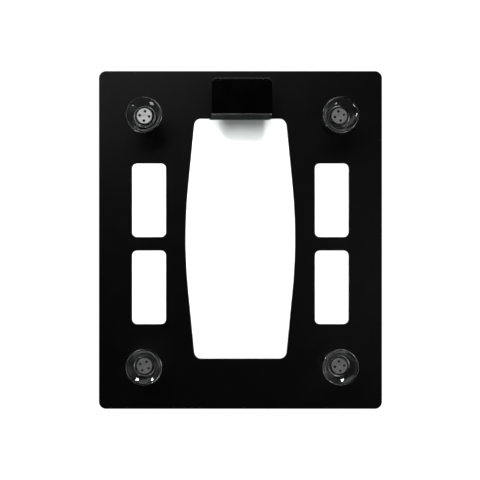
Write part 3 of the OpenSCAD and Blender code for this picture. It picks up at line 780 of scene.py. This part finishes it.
def build_contacts(bm):
    """Spring backing plates: thin sheet, standing up behind each spring."""
    for side in (-1, 1):
        at, end = flat_end(side)
        x = end - side * 3.85 * MM
        add_block(bm, (x - 0.2 * MM, at.y - PLATE_HALF, at.z - PLATE_HALF),
                  (x + 0.2 * MM, at.y + PLATE_HALF, at.z + PLATE_HALF), 0.08 * MM)


wire("coil_springs", [spring_run(1), spring_run(-1)], 0.32 * MM, spring_steel, "platform",
     ["battery_springs"])
piece("spring_plates", build_contacts, spring_steel, "platform")
dress("battery_plates", spring_steel, 0.08 * MM)
dress("battery_wires", red_jacket)

# ---------------------------------------------------------------- electronics

dress("circuit_board", solder_mask, 0.1 * MM)
dress("board_screws", zinc_steel, 0.08 * MM)
dress("board_parts", dark_nylon, 0.1 * MM)
dress("unit_switch", dark_nylon, 0.1 * MM)
dress("lcd_holder", white_nylon, 0.15 * MM)
dress("contact_strips", rubber_strip, 0.2 * MM)
dress("lcd_bezel", dark_nylon, 0.15 * MM)


def lcd_glass():
    t = Tree("lcd glass")
    t.to("Base Color", t.between(t.spread(t.noise(220, 2), 0, 1), (0.40, 0.45, 0.38), (0.43, 0.48, 0.41)))
    t.to("Roughness", t.spread(t.noise(500, 3), 0.20, 0.30))
    t.to("Normal", t.bump(t.noise(900, 2), 0.002 * MM))
    return t.material


dress("lcd_panel", lcd_glass(), 0.15 * MM)

SEGMENTS = {"0": "abcdef", "6": "acdefg", "4": "bcfg"}


def add_digit(bm, digit, x, y, z, h):
    """Seven bars as thin raised plates. x, y is the digit's lower left corner."""
    w, bar, gap = h * 0.52, h * 0.13, h * 0.02
    mid = y + h / 2
    tip = bar / 2
    flat = {"a": y + h - tip, "g": mid, "d": y + tip}
    tall = {"f": (x + tip, mid, y + h), "b": (x + w - tip, mid, y + h),
            "e": (x + tip, y, mid), "c": (x + w - tip, y, mid)}
    for name in SEGMENTS[digit]:
        if name in flat:
            c = flat[name]
            a, b = x + tip + gap, x + w - tip - gap
            loop = [(a, c), (a + tip, c - tip), (b - tip, c - tip),
                    (b, c), (b - tip, c + tip), (a + tip, c + tip)]
        else:
            c, lo, hi = tall[name]
            a, b = (lo + tip if lo == y else lo) + gap, (hi - tip if hi == y + h else hi) - gap
            loop = [(c, a), (c + tip, a + tip), (c + tip, b - tip),
                    (c, b), (c - tip, b - tip), (c - tip, a + tip)]
        add_slab(bm, loop, [], z, z + 0.05 * MM, 0)


def build_digits(bm):
    at = middle("lcd_panel")
    z = high("lcd_panel").z
    h = 11 * MM
    step = h * 0.74
    x = at.x - 1.45 * step
    for i, digit in enumerate("640"):
        add_digit(bm, digit, x + i * step + (h * 0.14 if i == 2 else 0), at.y - h / 2, z, h)
    dot = (x + 2 * step - h * 0.04, at.y - h / 2 + h * 0.065)
    add_slab(bm, disk(*dot, h * 0.065, 20), [], z, z + 0.05 * MM, 0)


ink = moulded("lcd ink", (0.02, 0.022, 0.02), 0.3, 0.05, 900, 0.002)
piece("lcd_digits", build_digits, ink, "platform")

# ---------------------------------------------------------------- stage


def one_sided(name, colour, rough=0.8):
    """A pale matt surface that is only there from its front."""
    t = Tree(name)
    t.to("Base Color", t.between(t.spread(t.noise(3, 2), 0, 1), colour, tuple(c * 0.985 for c in colour)))
    t.set(Roughness=rough, Specular_IOR_Level=0.2)
    through = t.nodes.new("ShaderNodeBsdfTransparent")
    mix = t.nodes.new("ShaderNodeMixShader")
    side = t.nodes.new("ShaderNodeNewGeometry")
    t.links.new(side.outputs["Backfacing"], mix.inputs["Fac"])
    t.links.new(t.shader.outputs["BSDF"], mix.inputs[1])
    t.links.new(through.outputs["BSDF"], mix.inputs[2])
    t.links.new(mix.outputs["Shader"], t.nodes["Material Output"].inputs["Surface"])
    return t.material


def sheet(name, half_w, half_l, z, up, material, mirrored):
    mesh = bpy.data.meshes.new(name)
    corners = [(-half_w, -half_l, z), (half_w, -half_l, z), (half_w, half_l, z), (-half_w, half_l, z)]
    mesh.from_pydata(corners, [], [(0, 1, 2, 3) if up else (3, 2, 1, 0)])
    mesh.materials.append(material)
    obj = bpy.data.objects.new(name, mesh)
    scene.collection.objects.link(obj)
    obj.visible_shadow = False
    obj.visible_diffuse = False
    obj.visible_glossy = mirrored
    return obj


floor = sheet("floor", 60, 60, -0.0002, True, one_sided("pale floor", (0.80, 0.80, 0.79)), False)
card_white = one_sided("white card", (0.9, 0.9, 0.9))
card = sheet("white_card", 0.140, 0.170, GLASS_HI.z + 1.5 * MM, False, card_white, True)

world = bpy.data.worlds.new("studio")
scene.world = world
world.use_nodes = True
tree = world.node_tree
coords = tree.nodes.new("ShaderNodeTexCoord")
split = tree.nodes.new("ShaderNodeSeparateXYZ")
ramp = tree.nodes.new("ShaderNodeMapRange")
SKY, GROUND = 1.06, 0.012
ramp.inputs["From Min"].default_value = -0.06
ramp.inputs["From Max"].default_value = -0.006
ramp.inputs["To Min"].default_value = GROUND
ramp.inputs["To Max"].default_value = SKY
tree.links.new(coords.outputs["Generated"], split.inputs["Vector"])
tree.links.new(split.outputs["Z"], ramp.inputs["Value"])
background = tree.nodes["Background"]
background.inputs["Color"].default_value = (1, 1, 1, 1)
tree.links.new(ramp.outputs["Result"], background.inputs["Strength"])


def area_light(name, at, aim, size, power):
    data = bpy.data.lights.new(name, "AREA")
    data.shape = "RECTANGLE"
    data.size, data.size_y = size
    data.energy = power
    obj = bpy.data.objects.new(name, data)
    scene.collection.objects.link(obj)
    obj.location = at
    obj.rotation_euler = (Vector(aim) - Vector(at)).to_track_quat("-Z", "Y").to_euler()
    return obj


def only(light, receivers, blockers=None):
    """Light linking: the light reaches only the receivers, and only the blockers shade them."""
    lit = bpy.data.collections.new(light.name + " lights")
    for obj in receivers:
        lit.objects.link(obj)
    light.light_linking.receiver_collection = lit
    if blockers:
        shade = bpy.data.collections.new(light.name + " shade")
        for obj in blockers:
            shade.objects.link(obj)
        light.light_linking.blocker_collection = shade


def strip_light(name, lean, near, far, width, power, depth=1.0):
    """A strip below the card that runs out from under the display box towards lean, and faces up."""
    way = Vector((lean, 1.0, 0.0))
    light = area_light(name, (0, 0, -depth), (0, 0, 0), (width, way.length * (far - near)), power)
    centre = way * (near + far) / 2
    light.location = (middle("display_housing").x + centre.x, low("display_housing").y + centre.y, -depth)
    light.rotation_euler = (math.pi, 0, -math.atan2(way.x, way.y))
    return light


objects = bpy.data.objects
cups = [objects["foot_cup_" + c] for c in CORNERS]
solid = [obj for obj in objects if obj.type in ("MESH", "CURVE") and obj not in (card, floor)]
box = [objects["box_shell"], objects["box_door"]]

area_light("soft_top", (-0.9, -0.8, 1.5), (0, 0, 0), (1.2, 1.2), 12)
only(area_light("key_below", (0.30, 0.72, -0.60), (0, 0, 0.02), (1.2, 0.5), 1.8), solid)
only(area_light("fill_below", (-0.60, -0.10, -0.60), (0, 0, 0.02), (0.5, 0.8), 0.28), solid)
only(strip_light("card_near_left", 0.95, 0, 0.5, 0.12, 5.3), [card], box)
only(strip_light("card_far_left", 0.95, 0.5, 1.3, 0.12, 36), [card], box)
only(strip_light("card_near_right", -0.30, 0, 0.5, 0.12, 3.3), [card], box)
only(strip_light("card_far_right", -0.30, 0.5, 1.6, 0.12, 23), [card], box)
discs = [objects["foot_disc_" + c] for c in CORNERS]
only(area_light("disc_glow", (0.28, 0.50, -0.95), (0.1, 0.13, 0.01), (0.3, 0.3), 1.4), discs)
toe_cups, heel_cups = cups[:2], cups[2:]
for turn in range(4):
    a = math.pi / 2 * turn
    at = (0.9 * math.cos(a), 0.9 * math.sin(a), -0.42)
    only(area_light("rim_%d" % turn, at, (0, 0, 0), (1.5, 0.35), 0.4), heel_cups)
only(area_light("glint_toe_left", (0.74, 0.40, -0.38), (0, 0, 0.01), (0.20, 0.20), 1.3), cups[1:2])
only(area_light("glint_toe", (-0.22, 0.48, -0.58), (0, 0, 0.01), (0.16, 0.30), 6.0), heel_cups)
only(area_light("glint_left", (0.74, 0.40, -0.38), (0, 0, 0.01), (0.20, 0.20), 4.0), heel_cups)
only(area_light("glint_heel_left", (0.70, -0.34, -0.47), (0, 0, 0.01), (0.25, 0.25), 1.4), toe_cups)
only(area_light("glint_heel_right", (-0.60, -0.33, -0.58), (0, 0, 0.01), (0.12, 0.12), 0.6), toe_cups)

scene.view_settings.view_transform = "Standard"
scene.view_settings.look = "None"
